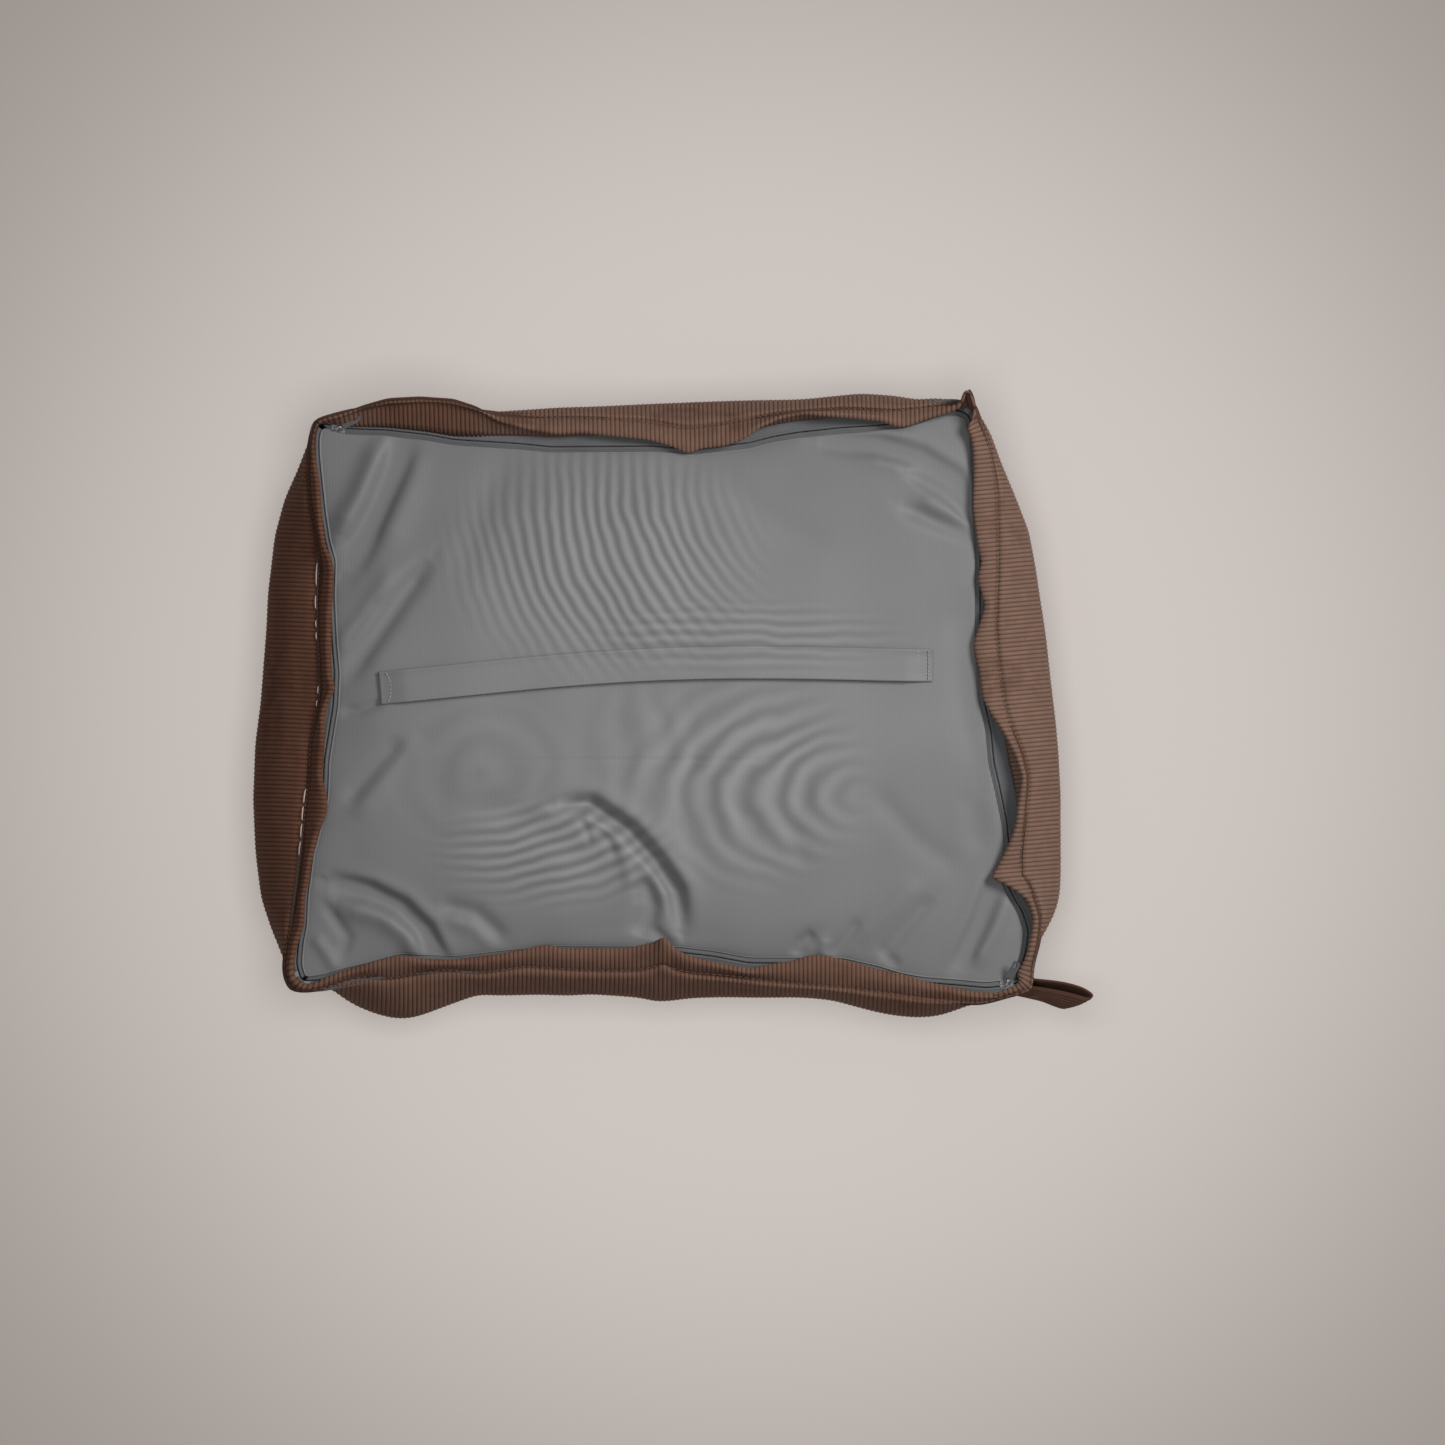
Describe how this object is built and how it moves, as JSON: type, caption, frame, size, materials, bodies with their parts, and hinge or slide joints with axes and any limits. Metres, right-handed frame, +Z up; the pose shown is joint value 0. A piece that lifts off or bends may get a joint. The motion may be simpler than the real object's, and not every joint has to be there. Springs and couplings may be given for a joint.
{
  "type": "pet cushion bed",
  "caption": "Rectangular stuffed pet cushion bed, turned over: corduroy walls bulge round a zipped grey base panel with a sewn belt strap and a corner loop.",
  "frame": {"origin": "centre of the flat patch of the sleeping face, on the floor that the turned-over bed lies on", "axes": "+Z up out of the base panel, +X along the bed's length towards the corner loop's end, +Y across the bed towards the back, so that the corner loop is at the front right"},
  "size_m": [0.632, 0.4687, 0.1341],
  "materials": {
    "corduroy": "cut-pile corduroy",
    "base_cloth": "coated plain weave",
    "liner_cloth": "spunbonded non-woven",
    "fibre_fill": "loose hollow fibre",
    "zip_tape": "woven tape",
    "zip_coil": "satin",
    "slider_metal": "satin grey enamel",
    "grey_thread": "spun thread",
    "brown_thread": "spun thread",
    "basting_thread": "spun thread"
  },
  "bodies": {
    "cover": {"sleeping_panel": "corduroy", "side_band_back": "corduroy", "side_band_right": "corduroy", "side_band_front": "corduroy", "side_band_left": "corduroy", "inner_liner": "liner_cloth", "inner_fill": "fibre_fill", "upper_zip_outer_tape": "zip_tape", "upper_zip_outer_coil": "zip_coil", "lower_zip_outer_tape": "zip_tape", "lower_zip_outer_coil": "zip_coil", "lower_zip_end_tape": "zip_tape", "lower_zip_end_coil": "zip_coil", "zip_end_tacks": "grey_thread", "lip_stitching": "brown_thread", "basting_thread": "basting_thread"},
    "base_flap": {"base_panel": "base_cloth", "base_strap": "base_cloth", "strap_stitching": "grey_thread", "upper_zip_inner_tape": "zip_tape", "upper_zip_inner_coil": "zip_coil", "lower_zip_inner_tape": "zip_tape", "lower_zip_inner_coil": "zip_coil"},
    "slider_a": {"slider_a": "slider_metal"},
    "pull_a": {"slider_a_pull": "slider_metal"},
    "slider_b": {"slider_b": "slider_metal"},
    "pull_b": {"slider_b_pull": "slider_metal"},
    "loop": {"corner_loop": "corduroy", "loop_tack": "brown_thread"}
  },
  "joints": [
    {"name": "flap_hinge", "type": "hinge", "parent": "cover", "child": "base_flap", "pos_m": [-0.25203, 0.00161, 0.113], "axis": [-0.0387, -0.9993, 0], "range_deg": [0, 110]},
    {"name": "slider_a_travel", "type": "slide", "parent": "cover", "child": "slider_a", "axis": [0.9998, 0.0206, 0], "range_m": [0, 0.446]},
    {"name": "pull_a_swing", "type": "hinge", "parent": "slider_a", "child": "pull_a", "pos_m": [-0.239, 0.20923, 0.1159], "axis": [0.4384, -0.8988, 0], "range_deg": [0, 100]},
    {"name": "slider_b_travel", "type": "slide", "parent": "cover", "child": "slider_b", "axis": [-1, 0.0037, 0], "range_m": [0, 0.512]},
    {"name": "pull_b_swing", "type": "hinge", "parent": "slider_b", "child": "pull_b", "pos_m": [0.262, -0.20596, 0.1159], "axis": [0.9205, -0.3907, 0], "range_deg": [0, 90]},
    {"name": "loop_bend", "type": "hinge", "parent": "cover", "child": "loop", "pos_m": [0.291, -0.218, 0.0905], "axis": [0, 0, 1], "range_deg": [-30, 30]}
  ]
}
